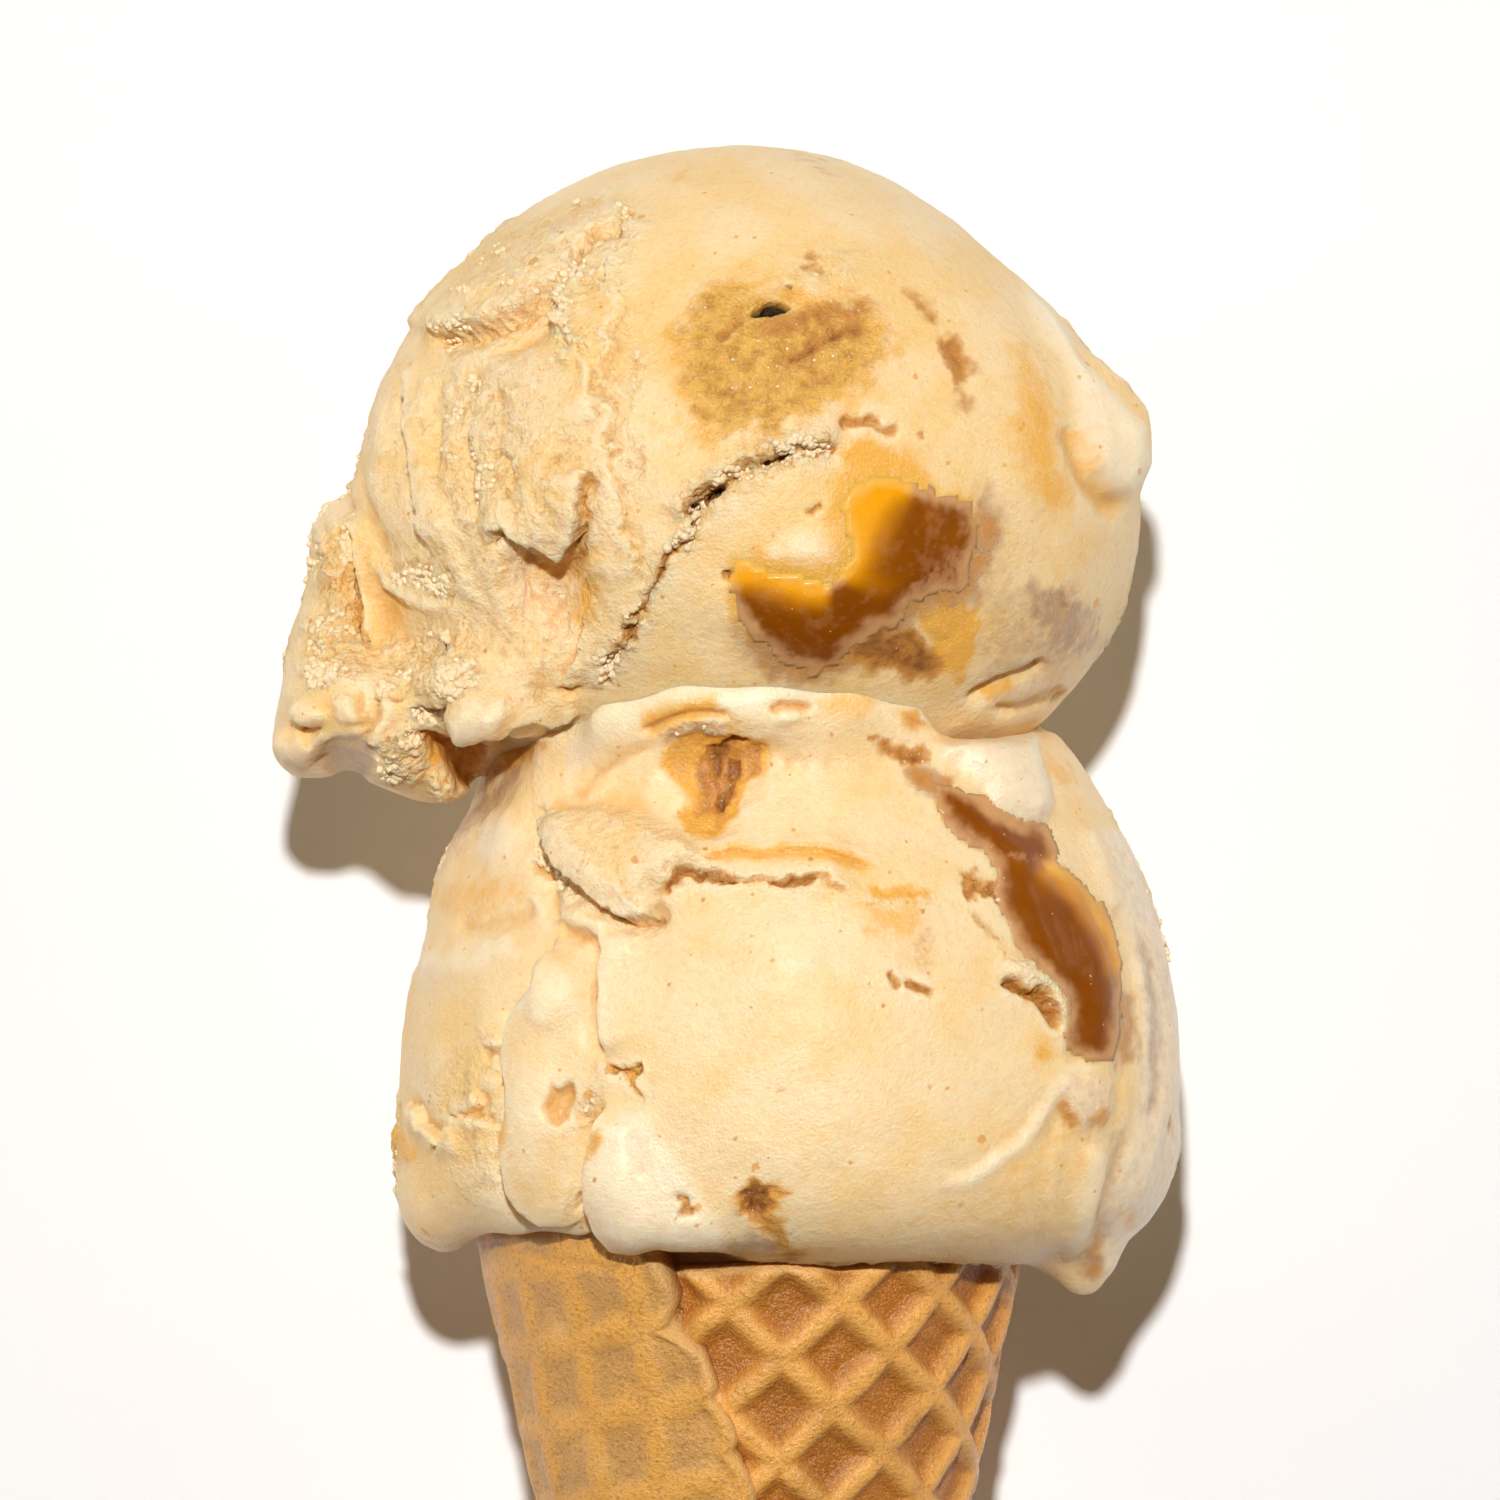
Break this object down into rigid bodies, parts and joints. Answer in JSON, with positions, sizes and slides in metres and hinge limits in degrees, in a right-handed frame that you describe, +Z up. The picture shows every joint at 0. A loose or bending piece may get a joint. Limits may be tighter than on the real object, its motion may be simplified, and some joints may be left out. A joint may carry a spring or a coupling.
{
  "type": "ice cream cone",
  "caption": "Double scoop of caramel ice cream in a rolled waffle cone, lying on its back with caramel streaks and a torn, melting surface.",
  "frame": {"origin": "middle of the flat spot on which the lower scoop lies", "axes": "+Y from the tip of the cone to the top of the upper scoop, +X to the right as seen from above, +Z up from the surface it lies on"},
  "size_m": [0.0823, 0.2062, 0.0686],
  "materials": {
    "ice_cream": "creamy ice cream, satin where it melts",
    "caramel": "wet glossy caramel",
    "wafer": "baked wafer, browner between the ridges"
  },
  "bodies": {
    "root": {"waffle_cone": "wafer", "lower_scoop": "ice_cream", "caramel_ribbon": "caramel", "upper_scoop": "ice_cream", "caramel_pool": "caramel"}
  },
  "joints": []
}
